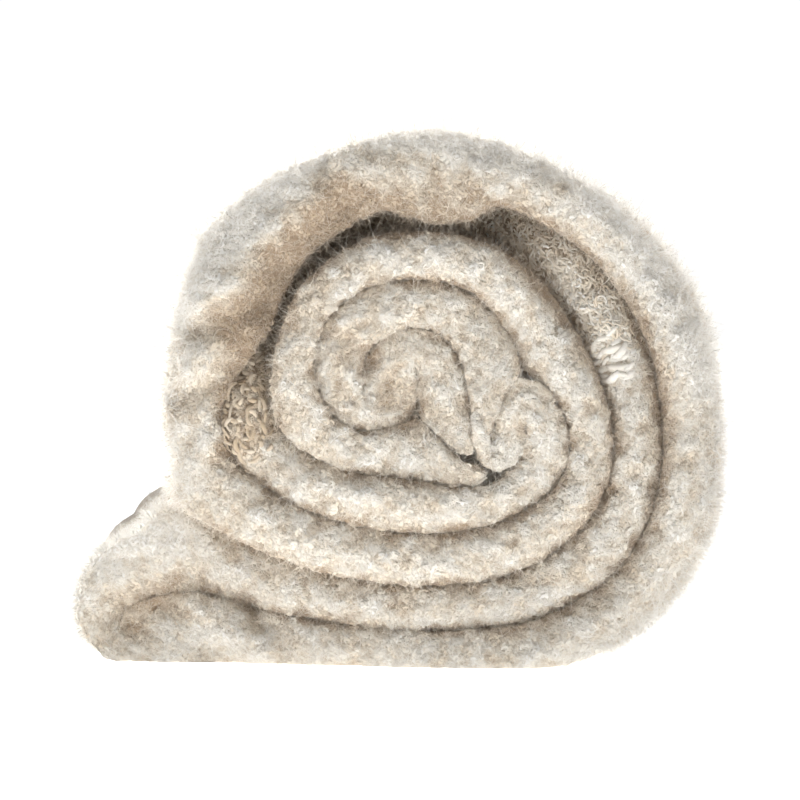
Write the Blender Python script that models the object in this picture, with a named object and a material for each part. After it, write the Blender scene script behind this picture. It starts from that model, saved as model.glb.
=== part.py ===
# Knit throw blanket, lying as it is shown: folded once along its length, folded again across its
# middle, then rolled up, with that second fold left out at one side as a flat tail.
#
# Metres, +Z up. The roll's axis runs along Y, its folded edge faces -Y and the tail lies towards -X.
# The throw is one solid band on one long path in the XZ plane. The path starts at the hem in the
# middle of the roll, winds outwards, turns back in the tail and winds inwards again, so the roll shows
# two layers side by side. Each layer is the throw's two plies, folded together at the front.

import math

import bpy
import bmesh
import numpy as np
from mathutils import Vector

# The throw as it was knitted, and the roll that its first fold gives.
THROW_WIDTH = 1.30
ROLL_LENGTH = THROW_WIDTH / 2

# Air between two turns that touch.
TURN_GAP = 0.0012

# How far apart the band's cross sections lie, in length and in turn.
STATION_STEP = 0.011
STATION_TURN = math.radians(24)
CURVE_STEPS = 40

# The folded edge at the front: its roundness, and how deep the part of it that sags reaches.
FOLD_STEPS = 6
SAG_FULL = 0.014
SAG_END = 0.032

# The open edge at the back: two rounded plies with a slit between them, not quite in line.
EDGE_ROUNDING = 0.006
EDGE_SHARE = 0.55
PLY_SLIT = 0.007
REAR_WANDER = 0.006
REAR_WAVES = 3

# The straight-sided patch of the underside that stands on the floor. Round it the cloth rises a little.
BASE_X = (-0.088, 0.048)
BASE_Y = (0.0975 - ROLL_LENGTH / 2, ROLL_LENGTH / 2 - REAR_WANDER - EDGE_ROUNDING)
BASE_RISE = 0.0006

YARN_COLOUR = (0.72, 0.64, 0.53, 1.0)
YARN_ROUGHNESS = 0.95

# Each row of the two tables below is one place along the band, in millimetres:
#   x, z    the middle of the band
#   thick   its thickness where nothing presses on it
#   back    how far its folded edge lies behind the front of the roll
#   sag     how far that folded edge sags inwards, towards the roll's middle

# The layer that lies inside, from the hem in the middle of the roll out to the tail.
INNER_LAYER = {
    "centre hook": (
        (16, 81, 12, 9, 0),
        (16, 92, 13, 8, 0),
        (12, 104, 13, 6, 0),
        (4, 108, 12, 5, 0),
        (-3, 102, 12, 6, 0),
        (-6, 93, 13, 7, 0),
        (-12, 88, 13, 6, 0),
        (-19, 90, 14, 5, 0),
    ),
    "third turn, left and top": (
        (-23, 99, 13, 4, 0),
        (-22, 111, 14, 3, 0),
        (-14, 120, 16, 3, 0),
        (-2, 124, 17, 3, 0),
        (10, 124, 17, 3, 0),
    ),
    "third turn, right": (
        (20, 118, 18, 4, 0),
        (27, 105, 18, 4, 0),
        (28, 91, 16, 4, 0),
        (26, 80, 12, 4, 0),
        (28, 74, 9, 5, 0),
        (31, 73, 8, 5, 0),
    ),
    "small curl": (
        (34, 78, 8, 5, 0),
        (37, 84, 9, 4, 0),
        (43, 86, 10, 4, 0),
        (49, 81, 11, 4, 0),
        (50, 74, 12, 4, 0),
        (45, 66, 14, 4, 0),
    ),
    "second turn, underneath": (
        (34, 60, 17, 3, 0),
        (22, 57, 18, 2, 0),
        (5, 56, 19, 2, 0),
        (-13, 58, 20, 2, 0),
        (-30, 63, 19, 3, 0),
        (-44, 70, 17, 6, 0),
    ),
    "first turn, left, set back": (
        (-53, 79, 15, 14, 0),
        (-54, 90, 15, 26, 0),
        (-52, 103, 17, 38, 0),
        (-47, 119, 17, 50, 0),
        (-39, 134, 17, 56, 0),
    ),
    "first turn, top, set back": (
        (-27, 146, 17, 56, 0),
        (-13, 154, 17, 56, 0),
        (3, 157, 17, 56, 0),
        (19, 156, 17, 54, 0),
        (34, 151, 15, 38, 0),
    ),
    "first turn, right": (
        (48, 143, 11, 22, 0),
        (59, 132, 12, 18, 0),
        (69, 117, 14, 12, 0),
        (76, 101, 17, 8, 0),
        (79, 85, 18, 5, 0),
        (79, 68, 18, 4, 0),
        (73, 50, 18, 3, 0),
    ),
    "first turn, underneath": (
        (60, 35, 17, 3, 0),
        (43, 25, 17, 3, 0),
        (23, 21, 17, 3, 0),
        (0, 20, 17, 6, 0),
        (-25, 23, 17, 12, 0),
        (-49, 29, 17, 21, 0),
    ),
    "top of the tail": (
        (-71, 34, 18, 28, 0),
        (-88, 32, 19, 32, 0),
        (-100, 26, 18, 34, 0),
    ),
}

# The layer that lies outside, from the tail's end in to the hem beside the middle.
OUTER_LAYER = {
    "bottom of the tail": (
        (-105, 16, 11, 34, 0),
        (-99, 7, 13, 33, 0),
        (-88, 9, 19, 32, 0),
        (-75, 12, 25, 30, 0),
        (-62, 11, 23, 26, 0),
    ),
    "outer turn, underneath": (
        (-49, 9, 19, 21, 0),
        (-25, 7, 15, 12, 0),
        (0, 5, 12, 5, 0),
        (23, 5, 12, 1, 0),
        (46, 7, 16, 1, 0),
    ),
    "outer turn, right": (
        (67, 16, 20, 1, 0),
        (86, 32, 21, 1, 0),
        (96, 52, 21, 1, 0),
        (99, 74, 20, 1, 0),
        (98, 95, 20, 1, 0),
        (94, 115, 21, 1, 0),
        (85, 132, 21, 1, 0),
    ),
    "outer turn, top": (
        (72, 147, 21, 1, 0),
        (55, 159, 20, 1, 1),
        (36, 168, 20, 0, 3),
        (26, 171, 20, 0, 11),
        (12, 174, 20, 0, 14),
        (-1, 173, 20, 0, 11),
        (-13, 170, 20, 0, 4),
        (-26, 164, 22, 0, 4),
        (-43, 154, 27, 1, 5),
    ),
    "outer turn, left": (
        (-58, 137, 29, 2, 7),
        (-65, 119, 26, 3, 8),
        (-68, 103, 24, 5, 4),
        (-69, 86, 24, 7, 0),
        (-66, 71, 22, 8, 0),
    ),
    "second turn, underneath": (
        (-57, 58, 19, 6, 0),
        (-42, 48, 18, 4, 0),
        (-25, 41, 18, 3, 0),
        (-6, 37, 18, 2, 0),
        (13, 36, 18, 2, 0),
        (33, 40, 18, 2, 0),
    ),
    "second turn, right": (
        (49, 48, 18, 2, 0),
        (60, 59, 18, 2, 0),
        (64, 72, 18, 3, 0),
        (63, 86, 18, 3, 0),
        (57, 100, 18, 3, 0),
        (49, 115, 18, 3, 0),
    ),
    "second turn, top": (
        (40, 127, 18, 2, 0),
        (30, 136, 18, 1, 0),
        (18, 140, 17, 0, 0),
        (6, 141, 17, 0, 0),
        (-8, 140, 17, 0, 0),
        (-21, 134, 16, 0, 0),
    ),
    "second turn, left": (
        (-31, 125, 15, 0, 0),
        (-36, 113, 14, 0, 0),
        (-37, 101, 13, 0, 0),
        (-34, 90, 14, 1, 0),
        (-28, 81, 15, 2, 0),
    ),
    "hem beside the middle": (
        (-18, 75, 16, 3, 0),
        (-6, 74, 16, 4, 0),
        (6, 72, 15, 5, 0),
        (19, 69, 13, 6, 0),
    ),
}


def clear_scene():
    for item in list(bpy.data.objects):
        bpy.data.objects.remove(item, do_unlink=True)


def table_rows():
    """All rows of both layers in metres, in the order of the path."""
    rows = []
    for layer in (INNER_LAYER, OUTER_LAYER):
        for section in layer.values():
            rows.extend(section)
    return np.array(rows, float) / 1000


def smooth_curve(rows):
    """Closely spaced rows on a smooth curve through the given rows."""
    chords = np.linalg.norm(np.diff(rows[:, :2], axis=0), axis=1)
    knots = np.concatenate([[0], np.cumsum(np.sqrt(chords))])
    slopes = np.gradient(rows, knots, axis=0)
    fine = np.linspace(0, knots[-1], CURVE_STEPS * len(rows))
    k = np.clip(np.searchsorted(knots, fine, side="right") - 1, 0, len(rows) - 2)
    span = (knots[k + 1] - knots[k])[:, None]
    t = (fine - knots[k])[:, None] / span
    return (
        (2 * t**3 - 3 * t**2 + 1) * rows[k]
        + (t**3 - 2 * t**2 + t) * span * slopes[k]
        + (3 * t**2 - 2 * t**3) * rows[k + 1]
        + (t**3 - t**2) * span * slopes[k + 1]
    )


def stations_along(curve):
    """Rows of the curve a step apart, closer together where it turns sharply."""
    steps = np.diff(curve[:, :2], axis=0)
    lengths = np.linalg.norm(steps, axis=1)
    headings = np.unwrap(np.arctan2(steps[:, 1], steps[:, 0]))
    turns = np.abs(np.diff(headings, append=headings[-1]))
    measure = np.concatenate([[0], np.cumsum(lengths / STATION_STEP + turns / STATION_TURN)])
    places = np.linspace(0, measure[-1], round(measure[-1]) + 1)
    print(f"band {lengths.sum():.3f} m long, {len(places)} cross sections")
    return np.column_stack([np.interp(places, measure, column) for column in curve.T])


def path_normals(points):
    """Unit vectors across the path, to its left as it is followed."""
    tangents = np.gradient(points, axis=0)
    tangents /= np.linalg.norm(tangents, axis=1)[:, None]
    return np.column_stack([-tangents[:, 1], tangents[:, 0]])


def room_beside(points, normals):
    """How far the band may reach along each normal before it meets a neighbour halfway.

    A circle that touches the path here, on this side, and passes through another point of the path
    has its centre halfway between the two. The smallest such circle gives the room.
    """
    away = points[None, :, :] - points[:, None, :]
    ahead = np.einsum("ijk,ik->ij", away, normals)
    squared = np.einsum("ijk,ijk->ij", away, away)
    beside = ahead > 0
    radius = np.where(beside, squared / np.where(beside, 2 * ahead, 1), np.inf)
    return radius.min(axis=1) - TURN_GAP / 2


def eased(values):
    """A mean of each value and its neighbours that never goes over the value itself."""
    padded = np.pad(values, 1, mode="edge")
    return np.minimum((padded[:-2] + padded[1:-1] + padded[2:]) / 3, values)


def fold_profile(left, right, sag_left, sag_right, front, rear):
    """One cross section of the band, as (across, along Y) points, from the fold round the back again."""
    points = []
    depth = min(left, right)
    for i in range(FOLD_STEPS + 1):
        angle = math.pi * (i / FOLD_STEPS - 0.5)
        reach = left + sag_left if angle > 0 else right + sag_right
        points.append((math.sin(angle) * reach, front + depth * (1 - math.cos(angle))))
    points += [
        (left + sag_left, front + SAG_FULL),
        (left, front + SAG_END),
        (left, BASE_Y[0]),
        (left, BASE_Y[1]),
        (left * EDGE_SHARE, rear),
        ((left - right) / 2, rear - PLY_SLIT),
        (-right * EDGE_SHARE, rear),
        (-right, BASE_Y[1]),
        (-right, BASE_Y[0]),
        (-right, front + SAG_END),
        (-right - sag_right, front + SAG_FULL),
    ]
    return points


def on_floor(x, y, z):
    """The same place, but not under the floor, and a little above it beside the standing patch."""
    stands = BASE_X[0] < x < BASE_X[1] and BASE_Y[0] <= y <= BASE_Y[1]
    return Vector((x, y, max(z, 0 if stands else BASE_RISE)))


def cross_sections():
    """The places of every cross section's corners along the band."""
    stations = stations_along(smooth_curve(table_rows()))
    points = stations[:, :2]
    thick, back, sag = stations[:, 2], *np.maximum(stations[:, 3:], 0).T
    normals = path_normals(points)
    left = eased(np.minimum(thick / 2, room_beside(points, normals)))
    right = eased(np.minimum(thick / 2, room_beside(points, -normals)))
    middle_is_left = np.einsum("ij,ij->i", points.mean(axis=0) - points, normals) > 0
    waves = np.sin(np.linspace(0, 2 * math.pi * REAR_WAVES, len(points)))
    front = back - ROLL_LENGTH / 2
    rear = ROLL_LENGTH / 2 - REAR_WANDER * (1 + waves) / 2
    for i, (x, z) in enumerate(points):
        sags = (sag[i], 0) if middle_is_left[i] else (0, sag[i])
        profile = fold_profile(left[i], right[i], *sags, front[i], rear[i])
        yield [on_floor(x + a * normals[i, 0], y, z + a * normals[i, 1]) for a, y in profile]


def throw_mesh(name):
    """The band, extruded from one cross section to the next and lying flat on the floor."""
    shape = bmesh.new()
    first, edges = None, []
    for places in cross_sections():
        if first is None:
            corners = [shape.verts.new(place) for place in places]
            first = [shape.edges.new(pair) for pair in zip(corners, corners[1:] + corners[:1])]
            edges = first
            continue
        grown = bmesh.ops.extrude_edge_only(shape, edges=edges)["geom"]
        edges = [item for item in grown if isinstance(item, bmesh.types.BMEdge)]
        corners = [item for item in grown if isinstance(item, bmesh.types.BMVert)]
        for corner, place in zip(corners, places):
            corner.co = place
    bmesh.ops.contextual_create(shape, geom=first)
    bmesh.ops.contextual_create(shape, geom=edges)
    bmesh.ops.recalc_face_normals(shape, faces=shape.faces)
    bmesh.ops.triangulate(shape, faces=shape.faces)
    across = [corner.co.x for corner in shape.verts]
    middle = (min(across) + max(across)) / 2
    bmesh.ops.translate(shape, verts=shape.verts, vec=(-middle, 0, 0))
    mesh = bpy.data.meshes.new(name)
    shape.to_mesh(mesh)
    shape.free()
    return mesh


def yarn_material():
    yarn = bpy.data.materials.new("oatmeal_yarn")
    yarn.use_nodes = True
    shader = yarn.node_tree.nodes["Principled BSDF"]
    shader.inputs["Base Color"].default_value = YARN_COLOUR
    shader.inputs["Roughness"].default_value = YARN_ROUGHNESS
    shader.inputs["Metallic"].default_value = 0.0
    return yarn


clear_scene()
throw = bpy.data.objects.new("throw_roll", throw_mesh("throw_roll"))
throw.data.materials.append(yarn_material())
throw.data.shade_smooth()
bpy.context.collection.objects.link(throw)
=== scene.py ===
import math

import bmesh
import bpy
import numpy as np
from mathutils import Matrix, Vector, noise


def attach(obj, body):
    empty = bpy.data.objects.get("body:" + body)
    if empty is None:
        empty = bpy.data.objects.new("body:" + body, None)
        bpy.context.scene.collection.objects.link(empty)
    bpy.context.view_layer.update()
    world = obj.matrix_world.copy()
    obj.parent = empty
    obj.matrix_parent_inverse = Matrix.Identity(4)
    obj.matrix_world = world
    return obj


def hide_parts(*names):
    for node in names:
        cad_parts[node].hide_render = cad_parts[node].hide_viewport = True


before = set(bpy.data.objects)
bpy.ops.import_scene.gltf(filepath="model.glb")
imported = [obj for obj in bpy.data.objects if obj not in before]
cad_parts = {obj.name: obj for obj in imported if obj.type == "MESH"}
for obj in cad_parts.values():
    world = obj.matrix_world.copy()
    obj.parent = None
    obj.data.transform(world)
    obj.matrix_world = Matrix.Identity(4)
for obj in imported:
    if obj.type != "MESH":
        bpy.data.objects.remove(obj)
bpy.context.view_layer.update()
print("frame loaded")

# The throw's way through the roll, in mm. Each row is one place along it:
# x, z, thickness, how far its folded edge lies back, how far that edge sags.
innerLayer = {
    "centreHook": (
        (23, 73, 13, 6, 0), (18, 90, 14, 7, 0), (12, 104, 13, 6, 0), (4, 108, 12, 5, 0),
        (-3, 102, 12, 6, 0), (-6, 93, 13, 7, 0), (-12, 88, 13, 6, 0), (-19, 90, 14, 5, 0),
    ),
    "thirdTurnLeftAndTop": (
        (-23, 99, 13, 4, 0), (-22, 111, 14, 3, 0), (-14, 120, 16, 3, 0),
        (-2, 124, 17, 3, 0), (10, 124, 17, 3, 0),
    ),
    "thirdTurnRight": (
        (20, 118, 18, 4, 0), (27, 105, 18, 4, 0), (28, 91, 16, 4, 0),
        (26, 80, 13, 4, 0), (28, 72.5, 12, 4, 0), (31.5, 71, 12, 4, 0),
    ),
    "smallCurl": (
        (34, 78, 9, 5, 0), (37, 85, 11, 4, 0), (43, 88, 13, 4, 0),
        (49, 82, 13, 4, 0), (50, 74, 13, 4, 0), (45, 66, 15, 4, 0),
    ),
    "secondTurnUnderneath": (
        (34, 60, 17, 3, 0), (22, 57, 18, 2, 0), (5, 56, 19, 2, 0),
        (-13, 58, 20, 2, 0), (-30, 63, 19, 3, 0), (-44, 70, 17, 6, 0),
    ),
    "firstTurnLeftSetBack": (
        (-53, 79, 16, 7, 0), (-54, 90, 17, 9, 0), (-52, 103, 17, 15, 0),
        (-47, 119, 17, 34, 0), (-39, 134, 17, 52, 0),
    ),
    "firstTurnTopSetBack": (
        (-27, 146, 17, 56, 0), (-13, 154, 17, 56, 0), (3, 157, 17, 56, 0),
        (19, 156, 17, 48, 0), (34, 151, 16, 32, 0),
    ),
    "firstTurnRight": (
        (48, 143, 13, 18, 0), (59, 132, 13, 14, 0), (69, 117, 14, 10, 0), (76, 101, 17, 7, 0),
        (79, 85, 18, 5, 0), (79, 68, 18, 4, 0), (73, 50, 18, 3, 0),
    ),
    "firstTurnUnderneath": (
        (60, 35, 17, 3, 0), (43, 25, 17, 3, 0), (23, 21, 17, 3, 0),
        (0, 20, 17, 6, 0), (-25, 23, 17, 12, 0), (-49, 29, 17, 21, 0),
    ),
    "topOfTheTail": (
        (-71, 36, 21, 28, 0), (-88, 34, 22, 30, 0), (-100, 28, 20, 32, 0),
    ),
}
outerLayer = {
    "bottomOfTheTail": (
        (-106, 17, 12, 33, 0), (-100, 8, 15, 32, 0), (-88, 10, 21, 30, 0),
        (-75, 12, 25, 28, 0), (-62, 11, 23, 25, 0),
    ),
    "outerTurnUnderneath": (
        (-49, 9, 19, 21, 0), (-25, 7, 15, 12, 0), (0, 5, 12, 5, 0),
        (23, 5, 12, 1, 0), (46, 7, 16, 1, 0),
    ),
    "outerTurnRight": (
        (67, 16, 20, 1, 0), (86, 32, 21, 1, 0), (96, 52, 21, 1, 0), (99, 74, 20, 1, 0),
        (98, 95, 20, 1, 0), (94, 115, 21, 1, 0), (85, 132, 21, 1, 0),
    ),
    "outerTurnTop": (
        (72, 147, 21, 1, 0), (55, 159, 20, 1, 1), (36, 168, 20, 0, 3),
        (26, 171, 20, 0, 11), (12, 174, 20, 0, 14),
        (-1, 173, 20, 0, 11), (-13, 170, 20, 0, 7), (-26, 164, 22, 0, 8), (-43, 154, 27, 1, 9),
    ),
    "outerTurnLeft": (
        (-58, 137, 29, 2, 11), (-65, 119, 26, 3, 11), (-68, 103, 24, 5, 5),
        (-69, 86, 24, 7, 0), (-66, 71, 22, 8, 0),
    ),
    "secondTurnUnderneath": (
        (-57, 58, 19, 6, 0), (-42, 48, 18, 4, 0), (-25, 41, 18, 3, 0),
        (-6, 37, 18, 2, 0), (13, 36, 18, 2, 0), (33, 40, 18, 2, 0),
    ),
    "secondTurnRight": (
        (49, 48, 18, 2, 0), (60, 59, 18, 2, 0), (64, 72, 18, 3, 0),
        (63, 86, 18, 3, 0), (57, 100, 18, 3, 0), (49, 115, 18, 3, 0),
    ),
    "secondTurnTop": (
        (40, 127, 18, 2, 0), (30, 136, 18, 1, 0), (18, 140, 17, 0, 0),
        (6, 141, 17, 0, 0), (-8, 140, 17, 0, 0), (-21, 134, 16, 0, 0),
    ),
    "secondTurnLeft": (
        (-31, 125, 15, 0, 0), (-36, 113, 14, 0, 0), (-37, 101, 13, 0, 0),
        (-34, 90, 14, 1, 0), (-28, 81, 15, 2, 0),
    ),
    "hemBesideTheMiddle": (
        (-18, 75, 16, 3, 0), (-6, 74, 16, 4, 0), (6, 72, 16, 5, 0),
        (18, 68, 15, 5, 0), (28.5, 65.8, 13, 5, 0),
    ),
}

throw = {
    "flat": (1.30, 1.70),
    "rollLength": 0.65,
    "turnGap": 0.0003,        # air between turns that touch
    "step": 0.0021,           # between cross sections
    "hiddenStep": 0.006,      # where the folded edge lies too deep to see
    "hiddenBack": 0.036,
    "easing": 3,              # cross sections over which a change of thickness is spread
    "hemRounding": 0.004,     # the two short ends
    "hemLeast": 0.04,         # square of the share of thickness left at the very end
    "foldPoints": 17,         # round the folded edge
    "foldSquareness": 1.2,    # 1 is a round fold, less is a fuller one
    "foldFlatness": 0.74,     # how far the fold stands out, against half its thickness
    "snug": 0.0055,           # how far the folded edge reaches towards a neighbour that is close
    "openAir": 0.020,         # wider air than this stays open
    "openAirFade": 0.008,
    "freeAir": 0.006,         # with this much air left a side counts as free
    "nearStep": 0.0016,       # away from the folded edge
    "nearDepth": 0.022,
    "farGrowth": 1.45,
    "farStep": 0.032,
    "farEnd": 0.03,           # no such row lies nearer to the rear than this
    "sagFull": 0.014,
    "sagEnd": 0.032,
    "slit": 0.0005,           # half the air between the two plies
    "rearWander": 0.006,
    "rearWaves": 3,
    "swell": 0.008,           # of the plies behind the folded edge, into the gaps between turns
    "swellStart": 0.005,
    "swellEnd": 0.018,
    "sway": 0.0035,           # of the whole roll along its length
    "swayLength": 0.27,
    "swayStart": 0.06,
    "swayFade": 0.10,
    "heave": 0.02,            # how much higher and lower the roll gets along its length, as a share
    "heavePace": 1.4,
}

# Soft creases on the folded edge, in mm in the roll's front plane:
# from, to, width, depth (a ridge is negative).
creases = {
    "gapShoulder": ((-20, 158), (-42, 137), 5.5, 2.4),
    "lowerGapShoulder": ((-44, 134), (-58, 106), 5.5, 3.2),
    "leftUpper": ((-70, 116), (-48, 125), 4.0, 3.8),
    "leftUpperRidge": ((-72, 125), (-54, 134), 6.0, -1.8),
    "leftLower": ((-76, 92), (-57, 101), 4.2, 3.8),
    "leftMiddleRidge": ((-74, 104), (-58, 110), 5.5, -2.0),
    "leftBottomRidge": ((-72, 70), (-62, 79), 5.0, -2.2),
    "tailValley": ((-97, 14), (-73, 26), 8.5, 5.2),
    "tailRidge": ((-72, 22), (-50, 4), 5.5, -4.5),
    "tailRidgeShade": ((-57, 23), (-43, 9), 3.4, 4.0),
    "coarseHollow": ((46, 136), (62, 113), 4.0, 3.5),
    "hookLeft": ((-20, 112), (-12, 104), 4.0, 2.4),
    "hookHollow": ((-4, 98), (4, 88), 4.0, 2.6),
    "topDip": ((-28, 178), (-20, 158), 4.0, 1.6),
    "topDipRight": ((46, 172), (40, 158), 4.0, 1.4),
}

# Painted shade, browner (or painted highlight, whiter, if negative), in mm as above: from, to, width, how
# much. The shade is painted into the gap's sides, grooves, hollows and valleys, the highlight onto the
# rims, the tail's top and the bottom edge.
paintedShadingPlaces = {
    "besideTheGap": ((-24, 158), (-56, 118), 10.0, 1.00),
    "aboveTheHem": ((-54, 116), (-61, 92), 6.0, 0.42),
    "notch": ((-62, 74), (-58, 66), 5.0, 0.50),
    "underTheTopDip": ((-22, 161), (24, 161), 6.5, 0.55),
    "topRightHollow": ((36, 152), (50, 146), 6.0, 0.60),
    "besideTheCoarseStrip": ((44, 136), (62, 112), 4.5, 0.45),
    "rightGroove": ((78, 122), (91, 74), 3.5, 0.30),
    "middleGroove": ((67, 92), (72, 78), 4.0, 0.35),
    "lowerGroove": ((57, 48), (69, 60), 4.0, 0.35),
    "hookLeft": ((-20, 112), (-12, 104), 5.0, 0.32),
    "hookHollow": ((-5, 98), (5, 88), 5.0, 0.36),
    "tailValley": ((-96, 15), (-76, 25), 7.0, 0.28),
    "topLeftRim": ((-86, 118), (-30, 180), 9.0, -0.60),
    "topRim": ((-20, 186), (60, 174), 6.0, -0.50),
    "rightRim": ((62, 172), (104, 100), 6.0, -0.50),
    "topOfTheTail": ((-104, 38), (-72, 48), 8.0, -0.50),
    "underneath": ((-40, 3), (60, 3), 4.0, -0.10),
}

lumps = {
    "size": 0.0060,
    "height": 0.0013,
    "stretch": 0.6,           # along the roll: less makes longer lumps
    "smallSize": 0.003,
    "smallHeight": 0.0009,
    "largeSize": 0.028,
    "largeHeight": 0.0013,
    "wander": 0.0022,         # of the folded edge, to and fro
    "wanderSize": 0.03,
    "stitchLength": 0.0069,
    "stitchWidth": 0.0058,
    "stitchHeight": 0.0008,
    "largeJitter": 2.2,       # how far the unevenness shifts the stitches, in radians
    "mediumJitter": 0.9,
    "reliefEnd": 0.034,       # depth behind the folded edge where the knit's relief ends
    "reliefFade": 0.014,
    "touchStart": 0.6,        # share of the fold's height where its neighbour begins to touch
    "touchFade": 0.004,
    "touchCalm": 0.9,         # how much of the lumps that touch takes away
    "rearShare": 0.3,         # how much of the lumps is left at the open edge
    "rimCalm": 0.45,          # how much of the lumps is left on the outline
    "rimStart": 0.003,
    "rimFade": 0.004,
    "creaseEnd": 0.016,
    "creaseFade": 0.010,
}

# How brown the wool is: the mean, and the share of each kind of unevenness. The hollows of lumps and
# stitches come out browner, partly the yarn's own tone and partly painted shade; creased is painted shade
# in the creases, and the last is the painted shade and highlight listed above.
marlAndShadingMix = {
    "mean": 0.40,
    "patches": 0.32, "medium": -0.31, "stitch": -0.10, "small": -0.26, "creased": 40, "paintedShading": 0.7,
}
marlAndShadingPlaces = {
    "patchSize": 0.0050,      # of the oatmeal patches
    "paintedShadingEnd": 0.05,           # depth where the painted shade and highlight end
    "paintedShadingFade": 0.02,
    "cleftStart": 0.16,       # of a groove between turns, as a share of the fold's height
    "cleftFade": 0.74,
    "cleftPaintedShade": 0.56,         # painted shade: how much browner the wool is painted where turns touch
    "leastStanding": 0.002,
    "fullStanding": 0.006,    # lower folds get less painted shade in their grooves
    "mottledStart": 0.016,    # depth where the shader's own mottling begins
    "mottledFade": 0.022,
    "sideMarl": 0.46,         # how brown the wool is behind the front, as a mean
}

# Where the folds are pressed flatter (or left fuller, above 1):
# from table row, to table row, share of their height.
flatFolds = {
    "middle": (-2.0, 24.5, 0.70),
    "tail": (53.4, 61.8, 0.18),
    "firstTurnRight": (42.0, 50.0, 1.25),
    "outerTurnRight": (66.0, 75.0, 1.25),
    "middleHem": (104.0, 118.0, 0.75),
}

# Where the yarn shows with less nap:
# from table row, to table row, share of the nap that is left, how much browner: the yarn's own tan on the
# coarse strip and the looped hem, painted shade on the set-back rows beside the gap.
bareRows = {
    "coarseStrip": (39.3, 43.6, 0.85, 0.05),
    "loopedHem": (30.4, 34.4, 0.70, 0.38),
    # painted shade: the set-back rows beside the gap are painted browner
    "setBack": (34.0, 40.0, 0.80, 0.38),
}
bareDepths = {"nap": 0.012, "yarn": 0.009}

# Over how many table rows the places above begin and end.
rowFades = {"flat": 1.2, "bare": 0.4, "yarn": 0.3}


def smoothStep(value):
    value = np.clip(value, 0, 1)
    return value**2 * (3 - 2 * value)


def between(row, first, last, fade):
    # 1 between two table rows, easing to 0 at each of them
    return smoothStep((row - first) / fade) * smoothStep((last - row) / fade)


def tableRows():
    # in metres, with the row's number as the last column
    rows = [row for layer in (innerLayer, outerLayer) for section in layer.values() for row in section]
    return np.column_stack([np.array(rows, float) / 1000, np.arange(len(rows))])


def smoothCurve(rows, fineSteps=80):
    chords = np.linalg.norm(np.diff(rows[:, :2], axis=0), axis=1)
    knots = np.concatenate([[0], np.cumsum(np.sqrt(chords))])
    slopes = np.gradient(rows, knots, axis=0)
    fine = np.linspace(0, knots[-1], fineSteps * len(rows))
    k = np.clip(np.searchsorted(knots, fine, side="right") - 1, 0, len(rows) - 2)
    span = (knots[k + 1] - knots[k])[:, None]
    t = (fine - knots[k])[:, None] / span
    start, end = rows[k], rows[k + 1]
    rise = (t**3 - 2 * t**2 + t) * slopes[k] + (t**3 - t**2) * slopes[k + 1]
    return start * (2 * t**3 - 3 * t**2 + 1) + end * (3 * t**2 - 2 * t**3) + rise * span


def stationsAlong(curve):
    steps = np.linalg.norm(np.diff(curve[:, :2], axis=0), axis=1)
    hidden = curve[1:, 3] > throw["hiddenBack"]
    measure = np.concatenate([[0], np.cumsum(steps / np.where(hidden, throw["hiddenStep"], throw["step"]))])
    places = np.linspace(0, measure[-1], round(measure[-1]) + 1)
    length = np.concatenate([[0], np.cumsum(steps)])
    columns = [np.interp(places, measure, column) for column in (*curve.T, length)]
    return np.column_stack(columns)


def across(points):
    along = np.gradient(points, axis=0)
    along /= np.linalg.norm(along, axis=1)[:, None]
    return np.column_stack([-along[:, 1], along[:, 0]])


def roomBeside(points, normals):
    # half of the way to the nearest other turn on this side
    away = points[None, :, :] - points[:, None, :]
    ahead = np.einsum("ijk,ik->ij", away, normals)
    squared = np.einsum("ijk,ijk->ij", away, away)
    beside = ahead > 1e-9
    radius = np.where(beside, squared / np.where(beside, 2 * ahead, 1), 1.0)
    return radius.min(axis=1) - throw["turnGap"] / 2


def eased(values, reach):
    window = np.hanning(2 * reach + 3)[1:-1]
    window /= window.sum()
    return np.convolve(np.pad(values, reach, mode="edge"), window, mode="valid")


def sideDepths():
    # how deep behind the folded edge the rows of the grid lie
    depths = list(np.arange(0, throw["nearDepth"], throw["nearStep"]) + throw["nearStep"])
    step = throw["nearStep"]
    while depths[-1] < throw["rollLength"]:
        step = min(step * throw["farGrowth"], throw["farStep"])
        depths.append(depths[-1] + step)
    return depths


def foldSection():
    # One section of the folded throw as rows of shares: left, right, slit, bight, depth (m), rear.
    # It starts in the slit at the fold, runs back along the left ply and forward along its outside,
    # round the fold, and back again on the right.
    slitDepths = (0.03, 0.12, 0.27, 0.45)
    depths = [d for d in sideDepths() if d < throw["rollLength"] - throw["farEnd"]]
    leftHalf = [(0, 0, 0, 1.0, 0.0015, 0), (0, 0, 1, 1.25, 0.003, 0)]
    leftHalf += [(0, 0, 1, 1, depth, 0) for depth in slitDepths]
    leftHalf += [(0.12, 0, 1, 0, 0.0015, 1), (0.35, 0, 1, 0, 0.0, 1), (0.65, 0, 0.6, 0, 0.0, 1)]
    leftHalf += [(0.9, 0, 0.2, 0, 0.002, 1), (1, 0, 0, 0, 0.006, 1), (1, 0, 0, 0, 0.014, 1)]
    leftHalf += [(1, 0, 0, 1, depth, 0) for depth in reversed(depths)]
    fold = []
    for i in range(throw["foldPoints"]):
        angle = math.pi * (0.5 - i / (throw["foldPoints"] - 1))
        reach = math.copysign(abs(math.sin(angle)) ** throw["foldSquareness"], angle)
        depth = 1 - math.cos(angle) ** throw["foldSquareness"] if abs(reach) < 1 else 1
        fold.append((max(reach, 0), max(-reach, 0), 0, depth, 0, 0))
    rightHalf = [(right, left, -slit, *rest) for left, right, slit, *rest in reversed(leftHalf[1:])]
    return np.array(leftHalf + fold + rightHalf)


def noiseOver(places, size, seed):
    moved = places / size + np.array([seed * 17.3, seed * 5.1, seed * 9.7])
    return np.array([noise.noise(Vector(place)) for place in moved])


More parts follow.
